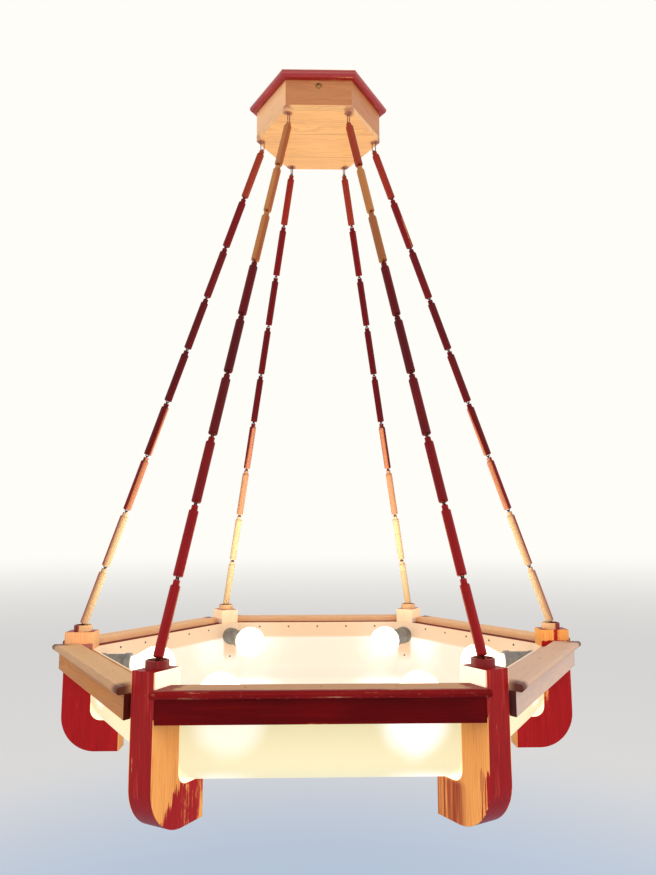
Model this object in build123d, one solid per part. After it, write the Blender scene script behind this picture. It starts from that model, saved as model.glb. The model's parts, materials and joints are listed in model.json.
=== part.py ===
from build123d import *
import math
import os

os.makedirs("parts", exist_ok=True)

# Frame: millimetres, +Z up, origin at the middle of the ceiling face, front side towards -Y.
# Corner n of both hexagons lies at (n - 1) x 60 degrees from +X, and side n follows corner n.

CORNERS = 6
STEP_DEG = 360 / CORNERS
HALF_DEG = STEP_DEG / 2
COS_HALF = math.cos(math.radians(HALF_DEG))
SIN_HALF = math.sin(math.radians(HALF_DEG))
TAN_HALF = math.tan(math.radians(HALF_DEG))

# Clearances
glue_gap = 0.05
slip_gap = 1.0
link_gap = 0.3
end_link_gap = 0.8
bulb_gap = 0.5
overshoot = 1.0

# Ceiling box
box_apothem = 106.0
box_height = 78.0
box_board = 12.0
moulding_height = 16.0
moulding_reach = 12.5
bearer_height = 45.0
cable_entry_r = 10.0
ceiling_hole_r = 3.0
ceiling_holes = 3
ceiling_pcd = 130.0

# Box screws, with domed slotted heads
screw_drop = 28.0
screw_head_r = 6.0
screw_head_rise = 2.6
screw_shank_r = 2.2
screw_length = 38.0
screw_slot = 1.7
screw_slot_depth = 1.3
screw_slot_turn = 45.0

# Flex gland and terminal block
gland_drop = 54.0
gland_bore_r = 2.6
gland_body_r = 4.2
gland_flange_r = 7.0
gland_flange = 2.5
terminal_ways = 3
terminal_pitch = 12.0
terminal_end = 7.0
terminal_width = 18.0
terminal_height = 13.0
terminal_wire_r = 2.0
terminal_wire_rise = 4.3
terminal_screw_r = 2.4

# Chains of rods
eye_inset = 11.6
eye_drop = 17.5
chain_drop = 917.0
cup_r = 424.0
rods = 9
rod_r = 7.0
rod_chamfer = 1.0
rod_neck_r = 4.7
rod_neck = 7.0
link_space = 5.4
wire_r = 0.8
loop_r = 2.6
loop_leg = 9.0
canopy_wire_r = 0.9
canopy_loop_r = 3.2
canopy_leg_cover = 1.5
cup_loop_leg = 14.0

# Posts and the cups on them
cup_rise = 10.5
cup_outer_r = 15.75
cup_wall = 3.0
cup_height = 11.0
cup_edge = 0.8
post_width = 39.0
post_seat = 24.0
post_depth = 50.0
post_height = 201.5
toe_length = 51.0
toe_height = 52.1
post_heel_r = 60.0
post_notch_r = 18.0
post_edge = 1.0

# Rails and caps
rail_depth = 51.2
rail_height = 32.0
rail_end_deg = 24.0
rail_tenon_r = 7.0
rail_tenon_in_post = 14.0
rail_tenon_in_rail = 10.0
cap_drop = 19.0
cap_thick = 10.0
cap_width = 43.0
cap_overhang = 11.6

# Diffuser tray
tray_wall = 3.0
tray_bend_r = 36.0

# Nails
nail_head_r = 2.0
nail_head = 0.8
nail_shank_r = 0.9
cap_nail_length = 32.0
cap_nail_pitch = 96.0
cap_nails = 3
cap_nail_inset = 14.8
cap_nail_sink = 0.3
tray_nail_length = 16.0
tray_nail_pitch = 66.0
tray_nails = 5
tray_nail_drop = 9.0
post_nail_drop = 102.0

# Lampholders
lamp_drop = 57.0
holder_length = 62.0
holder_base_r = 18.0
holder_base = 14.0
holder_body_r = 16.6
holder_rim_r = 18.2
holder_rim = 11.0
holder_edge = 1.2
holder_spigot_r = 5.0
holder_spigot = 25.0

# Bulbs
bulb_r = 30.0
bulb_length = 84.0
bulb_glass = 1.0
bulb_flare = ((0.38, 0.59), (0.70, 0.90))
bulb_flare_start = 0.12
bulb_neck_step = 0.7
bulb_neck_swell = 0.3
bulb_cap_r = 13.1
bulb_thread = 0.8
bulb_crest = 0.3
bulb_cap_length = 22.0
bulb_cap_ridges = 5
bulb_cap_sink = 7.0
bulb_button_r = 5.0
bulb_button_edge = 1.0
bulb_button = 3.5
bulb_shell_end = 2.0

# Derived places: the box
box_r = box_apothem / COS_HALF
inner_apothem = box_apothem - box_board
side_low = box_board - box_height
moulding_r = moulding_height / 2
terminal_length = 2 * terminal_end + (terminal_ways - 1) * terminal_pitch

# Derived places: the chains
eye_r = box_r - eye_inset
eye_z = -box_height - eye_drop
cup_z = eye_z - chain_drop
chain_spread = cup_r - eye_r
chain_length = math.hypot(chain_drop, chain_spread)
rod_pitch = chain_length / rods
rod_length = rod_pitch - link_space
loop_reach = link_space / 2 + wire_r + link_gap / 2
end_loop_reach = link_space / 2 + wire_r + end_link_gap / 2
canopy_loop_leg = box_board - canopy_leg_cover
canopy_loop_reach = eye_drop + canopy_wire_r + end_link_gap / 2
cup_loop_reach = cup_rise + wire_r + end_link_gap / 2

# Derived places: the ring
half_post = post_width / 2
post_inner_r = cup_r - post_seat
post_outer_r = post_inner_r + post_depth
post_toe_r = post_inner_r - toe_length
post_top_z = cup_z - cup_rise
post_base_z = post_top_z - post_height
post_toe_z = post_base_z + toe_height
cap_top_z = post_top_z - cap_drop
cap_base_z = cap_top_z - cap_thick
rail_base_z = cap_base_z - rail_height
tray_apothem = post_inner_r * COS_HALF + half_post * SIN_HALF
tray_inner_apothem = tray_apothem - tray_wall
rail_inner_half = post_inner_r * SIN_HALF - half_post * COS_HALF
rail_outer_apothem = tray_apothem + rail_depth
rail_mid_apothem = tray_apothem + rail_depth / 2
rail_mid_z = cap_base_z - rail_height / 2
rail_end_slope = math.tan(math.radians(rail_end_deg))
cap_outer_apothem = rail_outer_apothem + cap_overhang
cap_inner_apothem = cap_outer_apothem - cap_width
cap_nail_apothem = rail_outer_apothem - cap_nail_inset

# Derived places: the lamps
lamp_z = post_top_z - lamp_drop
holder_back_x = post_inner_r - tray_wall
holder_rim_x = holder_back_x - holder_length
holder_bore_r = bulb_cap_r + bulb_gap
holder_bore = bulb_cap_sink + bulb_cap_length + bulb_button + bulb_gap
bulb_seat_x = holder_rim_x + bulb_cap_sink
bulb_neck_r = bulb_cap_r - bulb_neck_step
bulb_cap_root_r = bulb_cap_r - bulb_thread
bulb_flare_length = bulb_length - bulb_r


def save(name, solids):
    export_step(Compound(solids) if len(solids) > 1 else solids[0], "parts/" + name + ".step")


def turned(shape, degrees):
    return Rot(0, 0, degrees) * shape


def corner_angle(n):
    return (n - 1) * STEP_DEG


def side_angle(n):
    return corner_angle(n) + HALF_DEG


def prism(points, low, high):
    return extrude(Pos(0, 0, low) * make_face(Polyline(*points, close=True)), high - low, dir=(0, 0, 1))


def rod_between(start, end, radius):
    start = Vector(*start)
    run = Vector(*end) - start
    return extrude(Plane(origin=start, z_dir=run) * Circle(radius), run.length)


def hexagon(apothem, low, high):
    radius = apothem / COS_HALF
    points = []
    for k in range(CORNERS):
        angle = math.radians(k * STEP_DEG)
        points.append((radius * math.cos(angle), radius * math.sin(angle)))
    return prism(points, low, high)


def wire_loop(radius, wire, reach, leg):
    """A U of wire in the XZ plane: its legs start at z = leg and its bend reaches down to -reach."""
    straight = reach - radius
    bend = revolve(Pos(radius, 0, 0) * Circle(wire), Axis.Y, 180)
    loop = Pos(0, 0, -straight) * bend
    for x in (-radius, radius):
        loop += rod_between((x, 0, -straight), (x, 0, leg), wire)
    return loop


def loop_holes(radius, wire, leg):
    holes = []
    for x in (-radius, radius):
        holes.append(rod_between((x, 0, -overshoot), (x, 0, leg + glue_gap), wire + glue_gap))
    return holes


def chain_plane(s):
    """Plane at distance s down the chain of corner 1: z runs back up the chain, x outwards."""
    along = (chain_spread / chain_length, -chain_drop / chain_length)
    origin = (eye_r + s * along[0], 0, eye_z + s * along[1])
    return Plane(origin=origin, x_dir=(-along[1], 0, along[0]), z_dir=(-along[0], 0, -along[1]))


def spread(count, pitch):
    """Offsets of a centred row of count places."""
    return [(k - (count - 1) / 2) * pitch for k in range(count)]


def nail(length):
    """A nail with its head's underside at z = 0, its shank pointing to -Z."""
    return Cylinder(nail_head_r, nail_head, align=(Align.CENTER, Align.CENTER, Align.MIN)) + Cylinder(
        nail_shank_r, length, align=(Align.CENTER, Align.CENTER, Align.MAX)
    )


def nail_hole(length):
    return Cylinder(
        nail_shank_r + glue_gap, length + glue_gap, align=(Align.CENTER, Align.CENTER, Align.MAX)
    )


# Ceiling box: six mitred side boards on a hexagonal floor board
board_points = [
    (inner_apothem, -inner_apothem * TAN_HALF),
    (box_apothem, -box_apothem * TAN_HALF),
    (box_apothem, box_apothem * TAN_HALF),
    (inner_apothem, inner_apothem * TAN_HALF),
]
side_board = prism(board_points, side_low, 0)
screw_sides = (1, 3, 5)
gland_side = 2


def wall_hole(drop, radius):
    start = (inner_apothem - overshoot, 0, -drop)
    return rod_between(start, (box_apothem + overshoot, 0, -drop), radius)


sides = []
for n in range(1, CORNERS + 1):
    board = side_board
    if n in screw_sides:
        board = board - wall_hole(screw_drop, screw_shank_r + glue_gap)
    if n == gland_side:
        board = board - wall_hole(gland_drop, gland_body_r + glue_gap)
    sides.append(turned(board, side_angle(n)))
save("canopy_sides", sides)

floor = hexagon(box_apothem, -box_height, side_low)
canopy_loops = []
for n in range(1, CORNERS + 1):
    place = Rot(0, 0, corner_angle(n)) * Pos(eye_r, 0, -box_height)
    canopy_loops.append(place * wire_loop(canopy_loop_r, canopy_wire_r, canopy_loop_reach, canopy_loop_leg))
    for hole in loop_holes(canopy_loop_r, canopy_wire_r, canopy_loop_leg):
        floor -= place * hole
save("canopy_floor", [floor])
save("canopy_eyes", canopy_loops)

# Half-round moulding round the top of the box, mitred at the corners
moulding_flat = box_apothem + moulding_reach - moulding_r
moulding_face = make_face(
    Polyline(
        (moulding_flat, -moulding_height),
        (box_apothem, -moulding_height),
        (box_apothem, 0),
        (moulding_flat, 0),
    )
    + ThreePointArc(
        (moulding_flat, 0),
        (moulding_flat + moulding_r, -moulding_r),
        (moulding_flat, -moulding_height),
    )
)
reach = 2 * box_apothem
wedge = prism([(0, 0), (reach, -reach * TAN_HALF), (reach, reach * TAN_HALF)], -box_height, overshoot)
moulding = extrude(Plane.XZ * moulding_face, box_apothem, both=True) & wedge
save("canopy_moulding", [turned(moulding, side_angle(n)) for n in range(1, CORNERS + 1)])

# Ceiling bearer inside the box, with its cable entry, ceiling screw holes and the box screws
bearer_span = ((0, 0, -bearer_height - overshoot), (0, 0, overshoot))
bearer = hexagon(inner_apothem - slip_gap, -bearer_height, 0)
bearer -= rod_between(*bearer_span, cable_entry_r)
for k in range(ceiling_holes):
    spot = Rot(0, 0, 90 + k * 360 / ceiling_holes) * Pos(ceiling_pcd / 2, 0, 0)
    bearer -= spot * rod_between(*bearer_span, ceiling_hole_r)
screw = Cylinder(screw_shank_r, screw_length, align=(Align.CENTER, Align.CENTER, Align.MAX))
dome_r = (screw_head_r**2 + screw_head_rise**2) / (2 * screw_head_rise)
screw += Pos(0, 0, screw_head_rise - dome_r) * Sphere(dome_r) & Box(
    3 * screw_head_r, 3 * screw_head_r, 2 * screw_head_rise, align=(Align.CENTER, Align.CENTER, Align.MIN)
)
slot = Pos(0, 0, screw_head_rise - screw_slot_depth) * Rot(0, 0, screw_slot_turn) * Box(
    3 * screw_head_r, screw_slot, screw_head_rise, align=(Align.CENTER, Align.CENTER, Align.MIN)
)
screw = Pos(box_apothem, 0, -screw_drop) * Rot(0, 90, 0) * (screw - slot)
pilot = rod_between(
    (box_apothem - screw_length - glue_gap, 0, -screw_drop),
    (box_apothem, 0, -screw_drop),
    screw_shank_r + glue_gap,
)
canopy_screws = []
for n in screw_sides:
    canopy_screws.append(turned(screw, side_angle(n)))
    bearer -= turned(pilot, side_angle(n))
save("ceiling_bearer", [bearer])
save("canopy_screws", canopy_screws)

# Terminal block on the floor board, and the gland of the flex that leaves the box
terminal = Pos(0, 0, side_low) * Box(
    terminal_length, terminal_width, terminal_height, align=(Align.CENTER, Align.CENTER, Align.MIN)
)
wire_z = side_low + terminal_wire_rise
for x in spread(terminal_ways, terminal_pitch):
    terminal -= rod_between((x, -terminal_width, wire_z), (x, terminal_width, wire_z), terminal_wire_r)
    screw_top = side_low + terminal_height + overshoot
    terminal -= rod_between((x, 0, wire_z), (x, 0, screw_top), terminal_screw_r)
save("terminal_block", [terminal])

gland_out = box_apothem + gland_flange
gland = rod_between((inner_apothem, 0, -gland_drop), (box_apothem, 0, -gland_drop), gland_body_r)
gland += rod_between((box_apothem, 0, -gland_drop), (gland_out, 0, -gland_drop), gland_flange_r)
gland -= rod_between(
    (inner_apothem - overshoot, 0, -gland_drop), (gland_out + overshoot, 0, -gland_drop), gland_bore_r
)
save("cord_gland", [turned(gland, side_angle(gland_side))])

# Chains: necked rods with a wire loop in each end, each pair of loops hooked through each other
upwards = Rot(180, 0, 0) * Rot(0, 0, 90)
low_end = Pos(0, 0, -rod_length)
rod = Cylinder(rod_r, rod_length - rod_neck, align=(Align.CENTER, Align.CENTER, Align.MIN))
rod = chamfer(rod.edges().filter_by(GeomType.CIRCLE), rod_chamfer)
rod = low_end * rod + Cylinder(rod_neck_r, 2 * rod_neck, align=(Align.CENTER, Align.CENTER, Align.MAX))
for hole in loop_holes(loop_r, wire_r, loop_leg):
    rod -= upwards * hole
    rod -= low_end * hole
chain_rods = []
chain_loops = []
for k in range(rods):
    place = chain_plane(k * rod_pitch + link_space / 2).location
    up_reach = end_loop_reach if k == 0 else loop_reach
    down_reach = end_loop_reach if k == rods - 1 else loop_reach
    chain_rods.append(place * rod)
    chain_loops.append(place * upwards * wire_loop(loop_r, wire_r, up_reach, loop_leg))
    chain_loops.append(place * low_end * wire_loop(loop_r, wire_r, down_reach, loop_leg))
for n in range(1, CORNERS + 1):
    save(f"chain_{n}_rods", [turned(part, corner_angle(n)) for part in chain_rods])
    save(f"chain_{n}_eyes", [turned(part, corner_angle(n)) for part in chain_loops])

# Posts: J-shaped boards standing in the radial planes
heel_top = (post_outer_r, post_base_z + post_heel_r)
heel_end = (post_outer_r - post_heel_r, post_base_z)
notch_end = (post_inner_r - post_notch_r, post_toe_z)
notch_top = (post_inner_r, post_toe_z + post_notch_r)
post_outline = (
    Polyline((post_inner_r, post_top_z), (post_outer_r, post_top_z), heel_top)
    + RadiusArc(heel_top, heel_end, post_heel_r)
    + Polyline(heel_end, (post_toe_r, post_base_z), (post_toe_r, post_toe_z), notch_end)
    + RadiusArc(notch_end, notch_top, -post_notch_r)
    + Line(notch_top, (post_inner_r, post_top_z))
)
post = extrude(Plane.XZ * make_face(post_outline), half_post, both=True)
post = fillet(post.faces().filter_by(Axis.Y).edges(), post_edge)


def end_half(apothem):
    """Half the length of a rail or cap at this distance from the middle."""
    return rail_inner_half + (apothem - tray_apothem) * rail_end_slope


def side_block(inner, outer, low, high):
    points = [
        (inner, -end_half(inner)),
        (outer, -end_half(outer)),
        (outer, end_half(outer)),
        (inner, end_half(inner)),
    ]
    return prism(points, low, high)


# Rails, with round stub tenons that enter the posts' sides
rail = side_block(tray_apothem, rail_outer_apothem, rail_base_z, cap_base_z)
tenon_root = end_half(rail_mid_apothem) - rail_tenon_in_rail
post_side = rail_inner_half + (rail_mid_apothem - tray_apothem) * TAN_HALF
tenon_end = post_side + rail_tenon_in_post
for sign in (-1, 1):
    rail += rod_between(
        (rail_mid_apothem, sign * tenon_root, rail_mid_z),
        (rail_mid_apothem, sign * tenon_end, rail_mid_z),
        rail_tenon_r,
    )
mortise = rod_between(
    (rail_mid_apothem, 0, rail_mid_z),
    (rail_mid_apothem, tenon_end + glue_gap, rail_mid_z),
    rail_tenon_r + glue_gap,
)
post -= turned(mortise, -HALF_DEG)
post -= turned(mirror(mortise, Plane.XZ), HALF_DEG)

# Cups on the post tops, and the loop in each that its chain hooks into
cup_place = Pos(cup_r, 0, post_top_z)
cup = Cylinder(cup_outer_r, cup_height, align=(Align.CENTER, Align.CENTER, Align.MIN))
cup = chamfer(cup.edges().group_by(Axis.Z)[-1], cup_edge)
cup = cup_place * (cup - Cylinder(cup_outer_r - cup_wall, 3 * cup_height))
cup_loop_place = cup_place * Rot(0, 180, 0) * Rot(0, 0, 90)
cup_loop = cup_loop_place * wire_loop(loop_r, wire_r, cup_loop_reach, cup_loop_leg)
for hole in loop_holes(loop_r, wire_r, cup_loop_leg):
    post -= cup_loop_place * hole
save("post_cups", [turned(cup, corner_angle(n)) for n in range(1, CORNERS + 1)])
save("cup_eyes", [turned(cup_loop, corner_angle(n)) for n in range(1, CORNERS + 1)])

# Caps: boards on the rails with a half-round nosing
nosing_r = cap_thick / 2
nosing_start = cap_outer_apothem - nosing_r
cap_face = make_face(
    Polyline(
        (nosing_start, cap_base_z),
        (cap_inner_apothem, cap_base_z),
        (cap_inner_apothem, cap_top_z),
        (nosing_start, cap_top_z),
    )
    + ThreePointArc(
        (nosing_start, cap_top_z), (cap_outer_apothem, cap_base_z + nosing_r), (nosing_start, cap_base_z)
    )
)
cap = extrude(Plane.XZ * cap_face, cap_outer_apothem, both=True)
cap = cap & side_block(cap_inner_apothem, cap_outer_apothem, cap_base_z - overshoot, cap_top_z + overshoot)


# Diffuser tray: walls that line the rails and posts, a bend all round and a flat floor on the toes
def tray_solid(inset, floor_z, bend):
    points = []
    radius = post_inner_r - inset
    half = (tray_apothem - inset - radius * COS_HALF) / SIN_HALF
    for k in range(CORNERS):
        angle = math.radians(k * STEP_DEG)
        for side in (-half, half):
            x = radius * math.cos(angle) - side * math.sin(angle)
            y = radius * math.sin(angle) + side * math.cos(angle)
            points.append((x, y))
    block = prism(points, floor_z, cap_base_z)
    return fillet(block.edges().group_by(Axis.Z)[0], bend)


tray = tray_solid(0, post_toe_z, tray_bend_r)
tray -= tray_solid(tray_wall, post_toe_z + tray_wall, tray_bend_r - tray_wall)

# Nails: through the caps into the rails, and through the tray into the rails and posts
cap_nail_z = cap_top_z - cap_nail_sink - nail_head
cap_nail_places = [Pos(cap_nail_apothem, y, cap_nail_z) for y in spread(cap_nails, cap_nail_pitch)]
tray_nail_places = []
for y in spread(tray_nails, tray_nail_pitch):
    tray_nail_places.append(Pos(tray_inner_apothem, y, cap_base_z - tray_nail_drop) * Rot(0, -90, 0))
post_nail_place = Pos(holder_back_x, 0, post_top_z - post_nail_drop) * Rot(0, -90, 0)
sink = Cylinder(nail_head_r + glue_gap, cap_thick, align=(Align.CENTER, Align.CENTER, Align.MIN))
for place in cap_nail_places:
    cap -= place * nail_hole(cap_nail_length)
    cap -= place * sink
    rail -= place * nail_hole(cap_nail_length)
for place in tray_nail_places:
    rail -= place * nail_hole(tray_nail_length)
post -= post_nail_place * nail_hole(tray_nail_length)
nails = []
tray_cuts = []
for n in range(1, CORNERS + 1):
    for place in cap_nail_places:
        nails.append(turned(place * nail(cap_nail_length), side_angle(n)))
    for place in tray_nail_places:
        nails.append(turned(place * nail(tray_nail_length), side_angle(n)))
        tray_cuts.append(turned(place * nail_hole(tray_nail_length), side_angle(n)))
    nails.append(turned(post_nail_place * nail(tray_nail_length), corner_angle(n)))
    tray_cuts.append(turned(post_nail_place * nail_hole(tray_nail_length), corner_angle(n)))
save("nails", nails)


# Lampholders on the posts' inner faces, over the tray
def lamp_turn(face):
    """Turns an outline of (distance from the middle, radius) about the lamp axis."""
    return Pos(0, 0, lamp_z) * revolve(Plane.XZ * face, Axis.X, 360)


holder_points = [
    (holder_back_x + holder_spigot, 0),
    (holder_back_x + holder_spigot, holder_spigot_r),
    (holder_back_x, holder_spigot_r),
    (holder_back_x, holder_base_r),
    (holder_back_x - holder_base, holder_base_r),
    (holder_back_x - holder_base - holder_edge, holder_body_r),
    (holder_rim_x + holder_rim + holder_edge, holder_body_r),
    (holder_rim_x + holder_rim, holder_rim_r),
    (holder_rim_x + holder_edge, holder_rim_r),
    (holder_rim_x, holder_rim_r - holder_edge),
    (holder_rim_x, holder_bore_r),
    (holder_rim_x + holder_bore, holder_bore_r),
    (holder_rim_x + holder_bore, 0),
]
holder = lamp_turn(make_face(Polyline(*holder_points, close=True)))
spigot_hole = rod_between(
    (holder_back_x - overshoot, 0, lamp_z),
    (holder_back_x + holder_spigot + glue_gap, 0, lamp_z),
    holder_spigot_r + glue_gap,
)
post -= spigot_hole
for n in range(1, CORNERS + 1):
    tray_cuts.append(turned(spigot_hole, corner_angle(n)))
for cut in tray_cuts:
    tray -= cut
save("tray", [tray])
for n in range(1, CORNERS + 1):
    save(f"post_{n}", [turned(post, corner_angle(n))])
    save(f"rail_{n}", [turned(rail, side_angle(n))])
    save(f"cap_{n}", [turned(cap, side_angle(n))])
    save(f"lampholder_{n}", [turned(holder, corner_angle(n))])


# Bulbs: a hollow glass on a ridged screw cap
def glass_line(wall):
    middle_x = bulb_seat_x - bulb_flare_length
    neck_end = (bulb_seat_x - bulb_cap_sink, bulb_neck_r + bulb_neck_swell - wall)
    crown = (middle_x, bulb_r - wall)
    flare_points = [(bulb_seat_x - a * bulb_flare_length, b * bulb_r - wall) for a, b in bulb_flare]
    flare = Spline(neck_end, *flare_points, crown, tangents=[(-1, bulb_flare_start), (-1, 0)])
    dome = RadiusArc(crown, (middle_x - bulb_r + wall, 0), wall - bulb_r)
    return Line((bulb_seat_x, bulb_neck_r - wall), neck_end) + flare + dome


bulb_tip_x = bulb_seat_x - bulb_length
glass_face = make_face(
    glass_line(0)
    + glass_line(bulb_glass)
    + Line((bulb_seat_x, bulb_neck_r), (bulb_seat_x, bulb_neck_r - bulb_glass))
    + Line((bulb_tip_x, 0), (bulb_tip_x + bulb_glass, 0))
)
glass = lamp_turn(glass_face)

ridge = bulb_cap_length / (bulb_cap_ridges + 1)
cap_points = [(bulb_seat_x, 0), (bulb_seat_x, bulb_cap_root_r)]
for k in range(bulb_cap_ridges):
    start = bulb_seat_x + (k + 0.5) * ridge
    cap_points.append((start, bulb_cap_root_r))
    cap_points.append((start + (0.5 - bulb_crest / 2) * ridge, bulb_cap_r))
    cap_points.append((start + (0.5 + bulb_crest / 2) * ridge, bulb_cap_r))
shell_x = bulb_seat_x + bulb_cap_length
cap_points.append((shell_x - ridge / 2, bulb_cap_root_r))
cap_points.append((shell_x, bulb_button_r + bulb_shell_end))
cap_points.append((shell_x, bulb_button_r))
cap_points.append((shell_x + bulb_button, bulb_button_r - bulb_button_edge))
cap_points.append((shell_x + bulb_button, 0))
bulb_cap = lamp_turn(make_face(Polyline(*cap_points, close=True)))
for n in range(1, CORNERS + 1):
    save(f"bulb_{n}_glass", [turned(glass, corner_angle(n))])
    save(f"bulb_{n}_cap", [turned(bulb_cap, corner_angle(n))])
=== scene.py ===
"""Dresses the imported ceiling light: timber, lit diffuser, lamps, fixings and a plain pale stage."""

import json
import math

import bpy
from bpy.props import FloatProperty, FloatVectorProperty, IntProperty, PointerProperty
from mathutils import Matrix, Vector


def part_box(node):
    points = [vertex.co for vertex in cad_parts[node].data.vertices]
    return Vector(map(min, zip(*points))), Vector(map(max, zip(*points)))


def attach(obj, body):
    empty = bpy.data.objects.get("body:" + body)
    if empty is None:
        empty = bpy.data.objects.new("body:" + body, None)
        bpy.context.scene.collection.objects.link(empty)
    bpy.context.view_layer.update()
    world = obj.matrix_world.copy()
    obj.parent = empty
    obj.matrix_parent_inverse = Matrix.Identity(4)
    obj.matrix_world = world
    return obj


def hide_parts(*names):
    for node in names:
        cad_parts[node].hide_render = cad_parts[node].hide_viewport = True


bl_info = {
    "name": "Rod-chain ceiling light",
    "version": (1, 0, 0),
    "blender": (4, 5, 0),
    "location": "View3D > Sidebar > Ceiling light",
    "description": "Timber, glow, fixings and stage for a hexagonal ceiling light on rod chains",
    "category": "Object",
}

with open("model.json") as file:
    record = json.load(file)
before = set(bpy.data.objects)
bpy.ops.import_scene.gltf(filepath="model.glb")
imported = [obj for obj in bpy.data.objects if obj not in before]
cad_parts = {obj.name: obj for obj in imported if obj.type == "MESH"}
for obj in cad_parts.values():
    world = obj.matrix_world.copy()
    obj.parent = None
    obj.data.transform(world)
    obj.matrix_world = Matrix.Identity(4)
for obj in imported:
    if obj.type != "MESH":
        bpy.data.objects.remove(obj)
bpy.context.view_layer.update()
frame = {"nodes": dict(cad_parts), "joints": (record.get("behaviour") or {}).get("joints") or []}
NODES = frame["nodes"]
CORNERS = 6
STEP = math.radians(360 / CORNERS)

# Places in the ring, in metres, from the boxes of the CAD nodes
POST_OUTER_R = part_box("post_1")[1].x
POST_TOE_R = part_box("post_1")[0].x
POST_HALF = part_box("post_1")[1].y
POST_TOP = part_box("post_1")[1].z
CAP_BASE, CAP_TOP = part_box("cap_1")[0].z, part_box("cap_1")[1].z
RAIL_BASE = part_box("rail_1")[0].z
TRAY_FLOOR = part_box("tray")[0].z
BOX_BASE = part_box("canopy_floor")[0].z

# Places that no box gives, in metres, as in the CAD
POST_INNER_R = 0.400
RAIL_FACE = 0.4074
CAP_OVERHANG = 0.0116
CAP_NOSE = RAIL_FACE + CAP_OVERHANG
TRAY_FACE = 0.3532
TRAY_WALL = 0.003
RAIL_BACK, RAIL_BACK_HALF, RAIL_END_SLOPE = 0.3562, 0.18311, 0.44523
CUP_R = 0.424

# Where a lamp shows through a side of the sheet, in metres: outwards, along, up
SPOT = (0.286, 0.122, -1.090)


def linear(red, green, blue):
    """A screen colour, each part from 0 to 255, as linear light."""
    parts = []
    for part in (red, green, blue):
        part /= 255
        parts.append(part / 12.92 if part <= 0.04045 else ((part + 0.055) / 1.055) ** 2.4)
    return tuple(parts)


def colour_property(name, description, colour):
    return FloatVectorProperty(
        name=name, description=description, default=colour, size=3, min=0, max=1, subtype="COLOR"
    )


def length_property(name, description, metres):
    return FloatProperty(name=name, description=description, default=metres, unit="LENGTH", precision=5)


def strength_property(name, description, strength):
    return FloatProperty(name=name, description=description, default=strength, min=0)


def angle_property(name, description, degrees):
    angle = math.radians(degrees)
    return FloatProperty(name=name, description=description, default=angle, subtype="ANGLE", unit="ROTATION")


class LightTimber(bpy.types.PropertyGroup):
    """Colours and figure of the pine and of the red stain on it."""

    pine: colour_property("Pine", "Pale wood between the year rings", linear(240, 168, 90))
    pine_line: colour_property("Year rings", "Dark lines of the pine", linear(198, 108, 42))
    stain: colour_property("Red stain", "Stain on posts, moulding and rods", linear(158, 8, 14))
    stain_deep: colour_property("Deep stain", "Stain where it lies thick, on the rails", linear(92, 0, 3))
    ring_spacing: length_property("Ring spacing", "Distance between year rings", 0.0042)


class LightGlow(bpy.types.PropertyGroup):
    """Colours and strengths of what is lit."""

    sheet: colour_property("Sheet", "Diffuser sheet unlit", (0.50, 0.43, 0.35))
    glow: colour_property("Glow", "Light through the sheet far from a lamp", (0.59, 0.53, 0.255))
    hot: colour_property("Hot spot", "Light through the sheet close to a lamp", (1.0, 1.0, 0.97))
    lining: colour_property("Lining", "Light from the inside of the sheet", (0.43, 0.42, 0.36))
    backed: colour_property("Backed sheet", "Light from the sheet in front of wood", (0.46, 0.28, 0.13))
    sheet_strength: strength_property("Sheet strength", "Light of the sheet", 1.0)
    bulb: colour_property("Lamp light", "Light of the lamps", (1.0, 0.86, 0.66))
    bulb_strength: strength_property("Lamp strength", "Light of the lamps", 3.0)


class LightRods(bpy.types.PropertyGroup):
    """Sizes of the rod chains."""

    count: IntProperty(name="Rods", description="Rods in a chain", default=9, min=1)
    radius: length_property("Rod radius", "Radius of a rod", 0.007)
    neck_radius: length_property("Neck radius", "Radius of the neck at a rod's top", 0.0047)
    neck: length_property("Neck", "Length of the neck at a rod's top", 0.0070)
    gap: length_property("Link space", "Distance from a neck to the rod above", 0.0054)
    end_round: length_property("End rounding", "Rounding of a rod's ends", 0.0016)
    eye_radius: length_property("Eye circle", "Distance of the box's loops from the middle", 0.110798)
    eye_height: length_property("Eye height", "Height of the topmost hooks", -0.0955)


class LightFixings(bpy.types.PropertyGroup):
    """Sizes and places of the nails."""

    head_radius: length_property("Head radius", "Radius of a nail's head", 0.0020)
    head_rise: length_property("Head rise", "Height of a nail's head", 0.0008)
    shank_radius: length_property("Shank radius", "Radius of a nail's shank", 0.0009)
    shank_length: length_property("Shank length", "Length of a nail's shank", 0.0160)
    cap_pitch: length_property("Cap nail pitch", "Distance between the nails of a cap", 0.0960)
    cap_inset: length_property("Cap nail inset", "Distance of the nails from the rail's face", 0.0148)
    cap_sink: length_property("Cap nail sink", "Depth of a nail's head under the cap's top", 0.0003)
    tray_pitch: length_property("Tray nail pitch", "Distance between the nails of a tray side", 0.0660)
    tray_drop: length_property("Tray nail drop", "Distance of the nails below the caps", 0.0090)
    post_drop: length_property("Post nail drop", "Distance of a post's nail below its top", 0.1020)


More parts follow.
